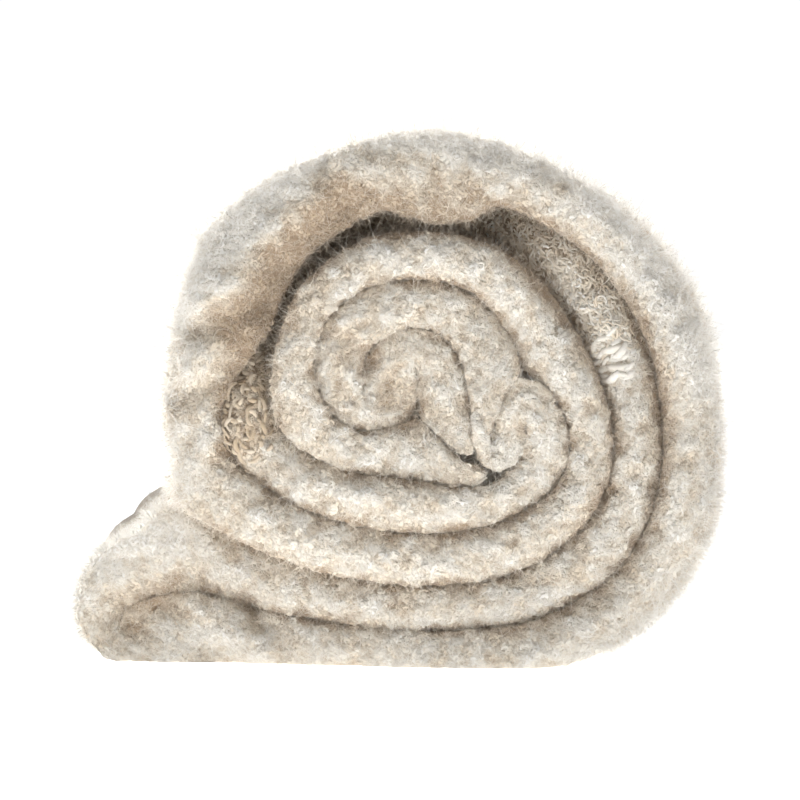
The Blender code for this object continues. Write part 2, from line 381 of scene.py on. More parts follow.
def foldedPlaces():
    # every grid point of the throw, folded and rolled, and how deep and how free it lies
    rows = stationsAlong(smoothCurve(tableRows()))
    points, rowNumber, length = rows[:, :2], rows[:, 5], rows[:, 6]
    thick, back, sag = rows[:, 2], np.maximum(rows[:, 3], 0), np.maximum(rows[:, 4], 0)
    normals = across(points)
    rooms = roomBeside(points, normals), roomBeside(points, -normals)
    left, right = [np.minimum(eased(np.minimum(thick / 2, room), throw["easing"]), room) for room in rooms]
    endDistance = np.minimum(length, length[-1] - length) / throw["hemRounding"]
    ends = np.sqrt(np.clip(1 - (1 - np.clip(endDistance, 0, 1)) ** 2, throw["hemLeast"], 1))
    left, right = left * ends, right * ends
    middleIsLeft = np.einsum("ij,ij->i", points.mean(axis=0) - points, normals) > 0
    sagLeft, sagRight = np.where(middleIsLeft, sag, 0), np.where(middleIsLeft, 0, sag)

    section = foldSection()
    shareLeft, shareRight, shareSlit, shareBight, depth, isRear = section.T
    edgePlaces = np.column_stack([length, np.zeros_like(length), np.zeros_like(length)])
    wander = noiseOver(edgePlaces, lumps["wanderSize"], 3) * lumps["wander"]
    front = np.maximum(back + wander, 0) - throw["rollLength"] / 2
    waves = np.sin(np.linspace(0, 2 * math.pi * throw["rearWaves"], len(points)))
    rear = throw["rollLength"] / 2 - throw["rearWander"] * (1 + waves) / 2
    bight = np.minimum(left, right)
    flatness = np.full(len(points), throw["foldFlatness"])
    for first, last, share in flatFolds.values():
        flatness = flatness * (1 - (1 - share) * between(rowNumber, first, last, rowFades["flat"]))
    standing = bight * flatness
    y = np.where(
        isRear[None, :] > 0,
        rear[:, None] - depth[None, :],
        front[:, None] + standing[:, None] * shareBight[None, :]
        + depth[None, :] * (1 - back / throw["rollLength"])[:, None],
    )
    deep = y - front[:, None]
    sagging = smoothStep((throw["sagEnd"] - deep) / (throw["sagEnd"] - throw["sagFull"]))
    swelling = smoothStep((deep - throw["swellStart"]) / (throw["swellEnd"] - throw["swellStart"]))
    airs = rooms[0] * ends - left, rooms[1] * ends - right
    grows = []
    for air in airs:
        closing = np.clip((throw["openAir"] - air) / throw["openAirFade"], 0, 1)[:, None]
        snug = np.clip(air, 0, throw["snug"])[:, None] * closing * (1 - swelling)
        grows.append(snug + np.clip(air, 0, throw["swell"])[:, None] * closing * swelling)
    sideways = shareLeft * (left[:, None] + grows[0] + sagLeft[:, None] * sagging)
    sideways = sideways - shareRight * (right[:, None] + grows[1] + sagRight[:, None] * sagging)
    middle = (left - right)[:, None] / 2 * np.where(shareSlit != 0, 1 - shareLeft - shareRight, 0)
    sideways = sideways + middle + shareSlit * throw["slit"] * ends[:, None]
    x = points[:, 0:1] + sideways * normals[:, 0:1]
    z = points[:, 1:2] + sideways * normals[:, 1:2]
    places = np.stack([x, y, z], axis=2)

    # free is 1 where nothing touches that side, and falls to 0 between turns
    frees = [np.clip((air[:, None] - grow) / throw["freeAir"], 0, 1) for air, grow in zip(airs, grows)]
    free = np.where(shareLeft > 0, frees[0], np.where(shareRight > 0, frees[1], 0))
    outside = (shareSlit == 0) | (shareLeft + shareRight > 0.8)
    steps = np.linalg.norm(np.diff(places, axis=1, prepend=places[:, :1]), axis=2)
    around = np.cumsum(steps, axis=1)
    around -= around[:, len(section) // 2][:, None]
    return {
        "places": places, "length": length, "row": rowNumber, "around": around, "deep": deep, "free": free,
        "outside": np.broadcast_to(outside, deep.shape), "rear": np.broadcast_to(isRear > 0, deep.shape),
        "bight": np.broadcast_to(bight[:, None], deep.shape), "standing": standing[:, None],
    }


def surfaceNormals(places):
    alongPath = np.gradient(places, axis=0)
    wrapped = np.concatenate([places[:, -2:-1], places, places[:, 1:2]], axis=1)
    aroundFold = wrapped[:, 2:] - wrapped[:, :-2]
    normal = np.cross(aroundFold, alongPath)
    normal /= np.maximum(np.linalg.norm(normal, axis=2), 1e-12)[:, :, None]
    return normal


def sumAlong(marks, x, z):
    # every mark fades away from its own line
    total = np.zeros_like(x)
    for (x0, z0), (x1, z1), width, amount in marks.values():
        start, run = np.array([x0, z0]) / 1000, np.array([x1 - x0, z1 - z0]) / 1000
        t = np.clip(((x - start[0]) * run[0] + (z - start[1]) * run[1]) / (run @ run), 0, 1)
        away = np.hypot(x - start[0] - t * run[0], z - start[1] - t * run[1])
        total += amount * np.exp(-((away / (width / 1000)) ** 2))
    return total


def roughen(folded):
    # lumps and unevenness along the surface's normals, creases inwards, and the marl's shades, with painted
    # shade in grooves, creases and hollows and painted highlight on the rims
    places, deep, free = folded["places"], folded["deep"], folded["free"]
    normal = surfaceNormals(places)
    flat = places.reshape(-1, 3)
    stretched = np.column_stack([flat[:, 0], flat[:, 1] * lumps["stretch"], flat[:, 2]])
    medium = noiseOver(stretched, lumps["size"], 1).reshape(deep.shape)
    small = noiseOver(flat, lumps["smallSize"], 2).reshape(deep.shape)
    large = noiseOver(flat, lumps["largeSize"], 4).reshape(deep.shape)
    jitter = large * lumps["largeJitter"] + medium * lumps["mediumJitter"]
    stitch = np.cos(folded["length"][:, None] * 2 * math.pi / lumps["stitchLength"] + jitter)
    stitch = stitch * np.cos(folded["around"] * 2 * math.pi / lumps["stitchWidth"] + jitter[::-1])
    near = np.clip((lumps["reliefEnd"] - deep) / lumps["reliefFade"], 0, 1)
    touchDepth = folded["standing"] * lumps["touchStart"]
    contact = np.clip((deep - touchDepth) / lumps["touchFade"], 0, 1) * (1 - free)
    amount = np.where(folded["outside"], 1 - lumps["touchCalm"] * contact, 0)
    amount = np.where(folded["rear"], lumps["rearShare"] * amount, amount)
    rim = free * np.clip((deep - lumps["rimStart"]) / lumps["rimFade"], 0, 1)
    amount = amount * (1 - (1 - lumps["rimCalm"]) * rim)
    loft = lumps["height"] * medium + lumps["smallHeight"] * small + lumps["stitchHeight"] * stitch
    move = amount * (near * loft + lumps["largeHeight"] * large * free)
    frontness = np.clip((lumps["creaseEnd"] - deep) / lumps["creaseFade"], 0, 1)
    creased = sumAlong(creases, places[:, :, 0], places[:, :, 2]) / 1000 * frontness * folded["outside"]
    # painted shade and highlight from the places listed above, only near the front
    paintedShadingNearness = np.clip((marlAndShadingPlaces["paintedShadingEnd"] - deep) / marlAndShadingPlaces["paintedShadingFade"], 0, 1)
    paintedShading = sumAlong(paintedShadingPlaces, places[:, :, 0], places[:, :, 2]) * paintedShadingNearness
    places = places + normal * move[:, :, None]
    places[:, :, 1] += creased
    places[:, :, 2] = np.maximum(places[:, :, 2], 0)
    behind = places[:, :, 1] + throw["rollLength"] / 2
    wave = 2 * math.pi / throw["swayLength"] * behind
    swaying = smoothStep((behind - throw["swayStart"]) / throw["swayFade"])
    places[:, :, 0] += throw["sway"] * swaying * np.sin(wave)
    places[:, :, 2] *= 1 + throw["heave"] * swaying * np.sin(wave * throw["heavePace"] + 1)
    folded["places"] = places

    # cleft is 1 deep in a groove between turns, and 0 on the crown of a fold
    share = deep / np.maximum(folded["standing"], marlAndShadingPlaces["leastStanding"])
    groove = (1 - free) * smoothStep((share - marlAndShadingPlaces["cleftStart"]) / marlAndShadingPlaces["cleftFade"])
    folded["cleft"] = np.where(folded["outside"], groove, 1)
    parts = {
        "patches": noiseOver(flat, marlAndShadingPlaces["patchSize"], 6).reshape(deep.shape),
        "medium": medium, "stitch": stitch, "small": small, "creased": creased, "paintedShading": paintedShading,
    }
    marlAndPaintedShading = marlAndShadingMix["mean"]
    for name, part in parts.items():
        marlAndPaintedShading = marlAndPaintedShading + marlAndShadingMix[name] * part
    # painted shade: the grooves between turns are painted browner, less so on low folds
    standing = np.clip(folded["standing"] / marlAndShadingPlaces["fullStanding"], 0, 1)
    marlAndPaintedShading = marlAndPaintedShading + marlAndShadingPlaces["cleftPaintedShade"] * folded["cleft"] * standing
    row = folded["row"][:, None]
    # the coarse strip and the looped hem get the yarn's own tan, the set-back rows painted shade
    for first, last, _, tanAndPaintedShade in bareRows.values():
        marlAndPaintedShading = marlAndPaintedShading + tanAndPaintedShade * between(row, first, last, rowFades["bare"])
    # behind the front the shader makes the mottling, because the rows of points lie far apart there
    mottled = smoothStep((deep - marlAndShadingPlaces["mottledStart"]) / marlAndShadingPlaces["mottledFade"])
    folded["mottled"] = mottled
    folded["marlAndPaintedShading"] = np.clip(marlAndPaintedShading, 0, 1) * (1 - mottled) + marlAndShadingPlaces["sideMarl"] * mottled
    return folded


# How densely fibres stand: most on the folded edge, some on free outer sides, none near the floor.
napPlaces = {"reach": 0.016, "fade": 0.010, "sides": 0.05, "rear": 0.2, "lowest": 0.0004}
rimPlaces = {"start": 0.001, "startFade": 0.004, "end": 0.042, "endFade": 0.03, "lowest": 0.006}
gapPlaces = {"amount": 8, "start": 0.002, "end": 0.014}


def napWeight(folded):
    near = np.clip((folded["bight"] + napPlaces["reach"] - folded["deep"]) / napPlaces["fade"], 0, 1)
    weight = np.where(folded["outside"], np.maximum(near, napPlaces["sides"] * folded["free"]), 0)
    weight = np.where(folded["rear"] & folded["outside"], napPlaces["rear"], weight)
    row = folded["row"][:, None]
    for first, last, share, _ in bareRows.values():
        bare = between(row, first, last, rowFades["bare"])
        weight = weight * (1 - (1 - share) * bare * (folded["deep"] < bareDepths["nap"]))
    return np.where(folded["places"][:, :, 2] < napPlaces["lowest"], 0, weight)


def rimWeight(folded):
    # the outer sides beside the folded edge, which make the outline
    starting = smoothStep((folded["deep"] - rimPlaces["start"]) / rimPlaces["startFade"])
    ending = smoothStep((rimPlaces["end"] - folded["deep"]) / rimPlaces["endFade"])
    raised = folded["places"][:, :, 2] > rimPlaces["lowest"]
    return folded["free"] * (starting * ending) * folded["outside"] * raised


def besideGap(folded):
    # the sides of the open gaps between turns, where long fibres bridge
    deep, free = folded["deep"], folded["free"]
    return gapPlaces["amount"] * free * (1 - free) * (deep > gapPlaces["start"]) * (deep < gapPlaces["end"])


def bareWeight(folded, name):
    # the strip of a fold where its yarn shows
    first, last = bareRows[name][:2]
    inside = between(folded["row"][:, None], first, last, rowFades["yarn"])
    return inside * folded["outside"] * (folded["deep"] < bareDepths["yarn"])


def gridMesh(name, folded):
    stations, sides = folded["deep"].shape
    bm = bmesh.new()
    bmesh.ops.create_grid(bm, x_segments=stations - 1, y_segments=sides, size=1)
    bm.verts.ensure_lookup_table()
    station = np.round([(v.co.x + 1) / 2 * (stations - 1) for v in bm.verts]).astype(int)
    side = np.round([(v.co.y + 1) / 2 * sides for v in bm.verts]).astype(int) % sides
    places = folded["places"][station, side]
    # the marl's shades with the painted shade and highlight, for the cloth's colour
    marlAndPaintedShading, mottled = [bm.verts.layers.float.new(layer) for layer in ("marlAndPaintedShading", "mottled")]
    shades = zip(folded["marlAndPaintedShading"][station, side], folded["mottled"][station, side])
    # the first and the last row of the grid come to lie on each other and are joined there
    seam = []
    gridEdge = 0.9999
    for vert, place, (mix, share) in zip(bm.verts, places, shades):
        if abs(vert.co.y) > gridEdge:
            seam.append(vert)
        vert.co = place
        vert[marlAndPaintedShading], vert[mottled] = mix, share
    bmesh.ops.remove_doubles(bm, verts=seam, dist=1e-7)
    rims = [edge for edge in bm.edges if edge.is_boundary]
    bmesh.ops.holes_fill(bm, edges=rims, sides=0)
    bmesh.ops.recalc_face_normals(bm, faces=bm.faces)
    mesh = bpy.data.meshes.new(name)
    bm.to_mesh(mesh)
    bm.free()
    mesh.shade_smooth()
    return mesh


def addPiece(name, mesh, material):
    piece = bpy.data.objects.new(name, mesh)
    bpy.context.scene.collection.objects.link(piece)
    piece.data.materials.append(material)
    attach(piece, "root")
    return piece


def bilinear(values, at):
    i, j, u, v = at
    u, v = (u[:, None], v[:, None]) if values.ndim == 3 else (u, v)
    near = values[i, j] * (1 - v) + values[i, j + 1] * v
    far = values[i + 1, j] * (1 - v) + values[i + 1, j + 1] * v
    return near * (1 - u) + far * u


def unit(vectors):
    return vectors / np.maximum(np.linalg.norm(vectors, axis=-1, keepdims=True), 1e-12)


def frames(folded, at):
    # root, outward normal, the way along the throw and the way round its fold
    root = bilinear(folded["places"], at)
    normal = unit(bilinear(folded["normals"], at))
    along = bilinear(folded["alongs"], at)
    along = unit(along - normal * np.sum(along * normal, axis=1)[:, None])
    return root, normal, along, np.cross(normal, along)


def randomSpots(folded, weight, count, rng):
    places = folded["places"]
    a = places[1:, :-1] - places[:-1, :-1]
    b = places[:-1, 1:] - places[:-1, :-1]
    area = np.linalg.norm(np.cross(a, b), axis=2)
    mean = (weight[:-1, :-1] + weight[1:, :-1] + weight[:-1, 1:] + weight[1:, 1:]) / 4
    heap = np.cumsum((area * mean).ravel())
    cell = np.searchsorted(heap, rng.random(count) * heap[-1])
    i, j = np.unravel_index(np.minimum(cell, heap.size - 1), area.shape)
    return i, j, rng.random(count), rng.random(count)


def arrayMesh(name, points, faces, maps, normals=None):
    # count copies of one small shape: points is count x verts x 3, faces are one copy's
    count, verts = points.shape[:2]
    starts = np.arange(count)[:, None] * verts
    corners = np.array([corner for face in faces for corner in face])
    sizes = np.array([len(face) for face in faces])
    loops = (starts + corners).ravel()
    mesh = bpy.data.meshes.new(name)
    mesh.vertices.add(count * verts)
    mesh.vertices.foreach_set("co", points.astype(np.float32).ravel())
    mesh.loops.add(len(loops))
    mesh.loops.foreach_set("vertex_index", loops.astype(np.int32))
    mesh.polygons.add(count * len(faces))
    first = np.concatenate([[0], np.cumsum(np.tile(sizes, count))[:-1]])
    mesh.polygons.foreach_set("loop_start", first.astype(np.int32))
    layer = mesh.uv_layers.new(name="OFBake")
    layer.uv.foreach_set("vector", maps[:, corners].astype(np.float32).ravel())
    mesh.update(calc_edges=True)
    mesh.shade_smooth()
    if normals is not None:
        mesh.normals_split_custom_set_from_vertices(normals.reshape(-1, 3))
    return mesh


def shadeMap(shades, sideways, along, shadeSteps=14, spread=0.35):
    # u picks the yarn's shade, v runs from root to tip
    column = np.minimum((np.clip(shades, 0, 0.999) * shadeSteps).astype(int), shadeSteps - 1)
    u = (column[:, None] + 0.5 + spread * np.asarray(sideways)[None, :]) / shadeSteps
    return np.stack([u, np.broadcast_to(np.asarray(along)[None, :], u.shape)], axis=2)


def strandShades(folded, at, style, rng):
    # fibres follow the cloth's marl, painted shade and highlight included
    shades = style["shade"] + style["marlAndPaintedShading"] * (bilinear(folded["marlAndPaintedShading"], at) - 0.5)
    return shades + rng.normal(0, style["mixed"], style["count"])


def aboveFloor(points, clearance=0.0003):
    points[:, :, 2] = np.maximum(points[:, :, 2], clearance)
    return points


def tapered(steps, thinnest, cutOff=0.12):
    # a yarn's thickness from end to end, as shares
    ways = [cutOff + (1 - 2 * cutOff) * s / (steps - 1) for s in range(steps)]
    return np.array([thinnest + (1 - thinnest) * math.sin(math.pi * way) for way in ways])


strandForm = {"liftBias": 1.6, "unevenFacing": 0.15, "tipTaper": 0.6}
curlForm = {"stretch": (0.6, 1.5), "thinnest": 0.35}


def strandPiece(name, folded, style, material):
    # flat fibres that taper to a point and are lit much as the cloth under them
    rng = np.random.default_rng(style["seed"])
    count, steps = style["count"], style["steps"]
    at = randomSpots(folded, style["weight"](folded), count, rng)
    root, normal, along, aside = frames(folded, at)
    heading = rng.uniform(0, 2 * math.pi, count)[:, None]
    lying = along * np.cos(heading) + aside * np.sin(heading)
    turning = aside * np.cos(heading) - along * np.sin(heading)
    lowest, highest = style["lift"]
    lift = (lowest + (highest - lowest) * rng.random(count) ** strandForm["liftBias"])[:, None]
    start = lying * np.cos(lift) + normal * np.sin(lift)
    span = rng.uniform(*style["length"], count)[:, None]
    curl = rng.normal(0, style["curl"], count)[:, None]
    droop = rng.uniform(*style["droop"], count)[:, None]
    halfWidth = rng.uniform(*style["width"], count)[:, None] / 2
    facing = unit(normal + rng.normal(0, strandForm["unevenFacing"], (count, 3)))
    rows = []
    for k in range(steps + 1):
        t = k / steps
        centre = root + span * (start * t + turning * curl * t**2 - normal * droop * t**2)
        centre += rng.normal(0, style["kink"], (count, 3)) * span * t
        heads = unit(start + 2 * t * (turning * curl - normal * droop))
        wide = unit(np.cross(heads, facing)) * halfWidth * (1 - t) ** strandForm["tipTaper"]
        rows += [centre - wide, centre + wide] if k < steps else [centre]
    points = aboveFloor(np.stack(rows, axis=1))
    faces = [(2 * k, 2 * k + 1, 2 * k + 3, 2 * k + 2) for k in range(steps - 1)]
    faces.append((2 * steps - 2, 2 * steps - 1, 2 * steps))
    sideways = [side for k in range(steps) for side in (-1, 1)] + [0]
    t = [k / steps for k in range(steps) for side in (-1, 1)] + [1]
    shades = strandShades(folded, at, style, rng)
    lit = unit(normal + rng.normal(0, style["unevenLight"], (count, 3)))
    normals = np.repeat(lit[:, None, :], points.shape[1], axis=1)
    addPiece(name, arrayMesh(name, points, faces, shadeMap(shades, sideways, t), normals), material)
    print(name, count * (2 * steps - 1), "triangles")


def yarnPiece(name, paths, ups, radii, shades, material, sides=4):
    # short tubes of yarn: paths and ups are count x points x 3, radii is count x points
    count, steps = paths.shape[:2]
    heads = unit(np.gradient(paths, axis=1))
    across = unit(np.cross(heads, ups))
    above = np.cross(across, heads)
    rings = []
    for k in range(sides):
        angle = 2 * math.pi * k / sides
        rings.append(paths + radii[:, :, None] * (across * math.cos(angle) + above * math.sin(angle)))
    points = aboveFloor(np.stack(rings, axis=2).reshape(count, steps * sides, 3))
    faces = []
    for s in range(steps - 1):
        for k in range(sides):
            a, b = s * sides + k, s * sides + (k + 1) % sides
            faces.append((a, b, b + sides, a + sides))
    faces.append(tuple(reversed(range(sides))))
    faces.append(tuple(range((steps - 1) * sides, steps * sides)))
    sideways = [2 * k / (sides - 1) - 1 for s in range(steps) for k in range(sides)]
    along = [s / (steps - 1) for s in range(steps) for k in range(sides)]
    addPiece(name, arrayMesh(name, points, faces, shadeMap(shades, sideways, along)), material)
    print(name, count * (len(faces) * 2), "triangles")


def curlPiece(name, folded, style, material):
    # curly bits of yarn that stand out of the nap
    rng = np.random.default_rng(style["seed"])
    count, steps = style["count"], style["steps"]
    at = randomSpots(folded, style["weight"](folded), count, rng)
    root, normal, heading, aside = frames(folded, at)
    radius = rng.uniform(*style["radius"], count)[:, None]
    sweep = rng.uniform(*style["sweep"], count)[:, None] * rng.choice([-1, 1], count)[:, None]
    begin = rng.uniform(0, 2 * math.pi, count)[:, None]
    stretch = rng.uniform(*curlForm["stretch"], count)[:, None]
    paths = []
    for s in range(steps):
        t = s / (steps - 1)
        angle = begin + sweep * (t - 0.5)
        height = style["sink"] + style["rise"] * math.sin(math.pi * t)
        flat = heading * np.cos(angle) * radius * stretch + aside * np.sin(angle) * radius
        paths.append(root + flat + normal * height)
    paths = np.stack(paths, axis=1)
    thick = rng.uniform(*style["thickness"], count)[:, None] / 2
    radii = (thick * tapered(steps, curlForm["thinnest"])[None, :])[:, :, None]
    shades = strandShades(folded, at, style, rng)
    # half a yarn each: its left side, its crown and its right side
    heads = unit(np.gradient(paths, axis=1))
    wide = unit(np.cross(heads, np.repeat(normal[:, None, :], steps, axis=1)))
    above = np.cross(wide, heads)
    points = np.stack([paths - wide * radii, paths + above * radii, paths + wide * radii], axis=2)
    points = aboveFloor(points.reshape(count, steps * 3, 3))
    above = unit(above + normal[:, None, :])
    rounded = style["rounded"]
    normals = np.stack([unit(above - wide * rounded), above, unit(above + wide * rounded)], axis=2)
    normals = normals.reshape(count, steps * 3, 3)
    corners = [s * 3 + k for s in range(steps - 1) for k in range(2)]
    faces = [(corner, corner + 1, corner + 4, corner + 3) for corner in corners]
    sideways = [k - 1 for s in range(steps) for k in range(3)]
    along = [s / (steps - 1) for s in range(steps) for k in range(3)]
    addPiece(name, arrayMesh(name, points, faces, shadeMap(shades, sideways, along), normals), material)
    print(name, count * len(faces) * 2, "triangles")


def stripSpots(folded, rows, turns):
    # fractional grid places from table rows and angles round the fold (0 faces the front)
    station = np.interp(rows, folded["row"], np.arange(len(folded["row"])))
    middle = folded["deep"].shape[1] // 2
    side = middle + turns / math.pi * (throw["foldPoints"] - 1)
    i = np.clip(station.astype(int), 0, len(folded["row"]) - 2)
    j = side.astype(int)
    return i, j, station - i, side - j


def stitchPiece(name, folded, style, material):
    # legs of knit stitches in columns along the throw, leaning to and fro
    rng = np.random.default_rng(style["seed"])
    rows, turns, leans, sizes, shades = [], [], [], [], []
    for column, turn in enumerate(style["columns"]):
        row = style["rows"][0] + rng.uniform(0, style["pitch"])
        while row < style["rows"][1]:
            rows.append(row)
            turns.append(turn + rng.normal(0, style["turnMix"]))
            lean = style["lean"] if column % 2 else -style["lean"]
            leans.append(lean + rng.normal(0, style["leanMix"]))
            sizes.append(rng.uniform(*style["sizes"]))
            shades.append(style["shade"] + rng.normal(0, style["mixed"]))
            row += style["pitch"] * rng.uniform(*style["pitchMix"])
    at = stripSpots(folded, np.array(rows), np.array(turns))
    root, normal, along, aside = frames(folded, at)
    lean, size = np.array(leans)[:, None], np.array(sizes)[:, None]
    heading = along * np.cos(lean) + aside * np.sin(lean)
    bow = np.cross(normal, heading) * rng.normal(0, style["bow"], len(rows))[:, None]
    paths, steps = [], style["steps"]
    for s in range(steps):
        t = s / (steps - 1)
        arch = math.sin(math.pi * t)
        height = style["sink"] + style["rise"] * arch
        reach = heading * style["length"] * size * (t - 0.5)
        paths.append(root + reach + bow * arch + normal * height)
    paths = np.stack(paths, axis=1)
    radii = style["thickness"] / 2 * size * tapered(steps, style["thinnest"])[None, :]
    ups = np.repeat(normal[:, None, :], steps, axis=1)
    yarnPiece(name, paths, ups, radii, np.array(shades), material)


def addNode(tree, kind, given, **settings):
    # given has a number for an input, or the output of another node that is linked to it
    node = tree.nodes.new(kind)
    for name, value in settings.items():
        setattr(node, name, value)
    for name, value in given.items():
        if isinstance(value, bpy.types.NodeSocket):
            tree.links.new(value, node.inputs[name])
        else:
            node.inputs[name].default_value = value
    return node


def mathNode(tree, operation, *values):
    return addNode(tree, "ShaderNodeMath", dict(enumerate(values)), operation=operation).outputs[0]


fleckForm = {
    "wide": {"Detail": 4, "Roughness": 0.65, "Distortion": 1.2},
    "fine": {"Detail": 3, "Distortion": 0.8},
    "finer": 3.1,             # how much smaller the fine flecks are
    "fineShare": 0.4,
    "stir": 0.0022,
    "smoothness": 0.35,
}


def fleckGroup():
    # light and dark flecks of spun wool, as a factor for a colour and as a height
    tree = bpy.data.node_groups.new("woolFlecks", "ShaderNodeTree")
    tree.interface.new_socket("Vector", in_out="INPUT", socket_type="NodeSocketVector")
    for name in ("Fleck Size", "Contrast"):
        tree.interface.new_socket(name, in_out="INPUT", socket_type="NodeSocketFloat")
    for name in ("Value", "Height"):
        tree.interface.new_socket(name, in_out="OUTPUT", socket_type="NodeSocketFloat")
    given, result = tree.nodes.new("NodeGroupInput"), tree.nodes.new("NodeGroupOutput")
    where = given.outputs["Vector"]
    scale = mathNode(tree, "DIVIDE", 1, given.outputs["Fleck Size"])
    fineScale = mathNode(tree, "MULTIPLY", scale, fleckForm["finer"])
    wide = addNode(tree, "ShaderNodeTexNoise", {"Vector": where, "Scale": scale, **fleckForm["wide"]})
    fine = addNode(tree, "ShaderNodeTexNoise", {"Vector": where, "Scale": fineScale, **fleckForm["fine"]})
    mix = {"Factor": fleckForm["fineShare"], "A": wide.outputs["Fac"], "B": fine.outputs["Fac"]}
    both = addNode(tree, "ShaderNodeMix", mix, data_type="FLOAT").outputs["Result"]
    value = mathNode(tree, "MULTIPLY", mathNode(tree, "SUBTRACT", both, 0.5), given.outputs["Contrast"])
    tree.links.new(value, result.inputs["Value"])
    # little curls of yarn, as rounded lumps whose edges are stirred by the flecks
    stirring = {0: wide.outputs["Color"], 1: (fleckForm["stir"],) * 3, 2: where}
    stirred = addNode(tree, "ShaderNodeVectorMath", stirring, operation="MULTIPLY_ADD").outputs["Vector"]
    curling = {"Vector": stirred, "Scale": scale, "Smoothness": fleckForm["smoothness"]}
    curls = addNode(tree, "ShaderNodeTexVoronoi", curling, feature="SMOOTH_F1")
    tree.links.new(mathNode(tree, "SUBTRACT", both, curls.outputs["Distance"]), result.inputs["Height"])
    return tree


# Stops of each colour ramp: first the pale and the dark end, then those between.
knitColours = {
    "cloth": (
        (0.25, (0.82, 0.775, 0.695)), (0.95, (0.46, 0.345, 0.24)),
        (0.55, (0.71, 0.62, 0.50)),
    ),
    "nap": (
        (0.0, (0.95, 0.935, 0.90)), (1.0, (0.57, 0.46, 0.345)),
        (0.15, (0.88, 0.845, 0.775)), (0.5, (0.80, 0.73, 0.625)),
    ),
    "yarn": (
        (0.0, (0.925, 0.905, 0.865)), (1.0, (0.57, 0.45, 0.315)),
        (0.2, (0.88, 0.835, 0.745)), (0.5, (0.83, 0.735, 0.60)),
    ),
}
woolSurface = {
    "Roughness": 0.95, "Specular IOR Level": 0.12,
    "Sheen Weight": 0.25, "Sheen Roughness": 0.5, "Sheen Tint": (1.0, 0.97, 0.92, 1),
}
clothFlecks = {"Fleck Size": 0.0021, "Contrast": 1.2}
yarnFlecks = {"Fleck Size": 0.06, "Contrast": 0.35}
sidePatches = {"Scale": 115, "Detail": 3, "Roughness": 0.65, "Distortion": 1.0}
patchContrast = 2.2
reliefDepth = 0.0012


def yarnRamp(tree, amount, colours):
    ramp = addNode(tree, "ShaderNodeValToRGB", {"Fac": amount})
    elements = ramp.color_ramp.elements
    for k, (at, colour) in enumerate(colours):
        stop = elements[k] if k < 2 else elements.new(at)
        stop.position = at
        stop.color = (*colour, 1)
    return ramp.outputs["Color"]


def newMaterial(name, surface):
    material = bpy.data.materials.new(name)
    material.use_nodes = True
    shader = material.node_tree.nodes["Principled BSDF"]
    for given, value in surface.items():
        shader.inputs[given].default_value = value
    return material, material.node_tree, shader


def clothMaterial(flecks):
    material, tree, shader = newMaterial("brushedKnit", woolSurface)
    where = tree.nodes.new("ShaderNodeTexCoord").outputs["Object"]
    marlAndPaintedShading, sides = [
        addNode(tree, "ShaderNodeAttribute", {}, attribute_name=layer).outputs["Fac"]
        for layer in ("marlAndPaintedShading", "mottled")
    ]
    group = addNode(tree, "ShaderNodeGroup", {"Vector": where, **clothFlecks}, node_tree=flecks)
    patches = addNode(tree, "ShaderNodeTexNoise", {"Vector": where, **sidePatches}).outputs["Fac"]
    centred = mathNode(tree, "MULTIPLY_ADD", patches, patchContrast, -patchContrast / 2)
    mixed = mathNode(tree, "ADD", marlAndPaintedShading, group.outputs["Value"])
    colour = yarnRamp(tree, mathNode(tree, "MULTIPLY_ADD", sides, centred, mixed), knitColours["cloth"])
    tree.links.new(colour, shader.inputs["Base Color"])
    relief = mathNode(tree, "MULTIPLY_ADD", sides, patches, group.outputs["Height"])
    bump = addNode(tree, "ShaderNodeBump", {"Strength": 1.0, "Distance": reliefDepth, "Height": relief})
    tree.links.new(bump.outputs["Normal"], shader.inputs["Normal"])
    return material


def yarnMaterial(name, flecks, colours):
    # colour from the piece's own map: across it runs the shade, up it the strand's length
    material, tree, shader = newMaterial(name, woolSurface)
    where = addNode(tree, "ShaderNodeUVMap", {}, uv_map="OFBake").outputs["UV"]
    apart = addNode(tree, "ShaderNodeSeparateXYZ", {"Vector": where})
    group = addNode(tree, "ShaderNodeGroup", {"Vector": where, **yarnFlecks}, node_tree=flecks)
    mixed = mathNode(tree, "ADD", apart.outputs["X"], group.outputs["Value"])
    tree.links.new(yarnRamp(tree, mixed, colours), shader.inputs["Base Color"])
    return material


def aim(item, place, target):
    item.location = place
    item.rotation_euler = (Vector(target) - Vector(place)).to_track_quat("-Z", "Y").to_euler()
    bpy.context.scene.collection.objects.link(item)


view = {
    "eye": (-0.0214, -1.825, 0.129),
    "target": (-0.0010, -0.325, 0.0918),
    "lens": 198.5,
    "sensor": 36,
    "clip": (0.05, 50),
}


def addCamera():
    camera = bpy.data.objects.new("camera", bpy.data.cameras.new("camera"))
    camera.data.lens = view["lens"]
    camera.data.sensor_width = view["sensor"]
    camera.data.clip_start, camera.data.clip_end = view["clip"]
    aim(camera, view["eye"], view["target"])
    bpy.context.scene.camera = camera


floorForm = {"halfWidth": 8, "drop": 0.0006}
floorSurface = {
    "Base Color": (0.95, 0.95, 0.95, 1), "Roughness": 0.9, "Specular IOR Level": 0,
    "Emission Color": (1, 1, 1, 1), "Emission Strength": 1.0,
}


def addFloor():
    bm = bmesh.new()
    bmesh.ops.create_grid(bm, x_segments=1, y_segments=1, size=floorForm["halfWidth"])
    bmesh.ops.translate(bm, verts=bm.verts, vec=(0, 0, -floorForm["drop"]))
    mesh = bpy.data.meshes.new("floor")
    bm.to_mesh(mesh)
    bm.free()
    floor = bpy.data.objects.new("floor", mesh)
    bpy.context.scene.collection.objects.link(floor)
    mesh.materials.append(newMaterial("paleFloor", floorSurface)[0])


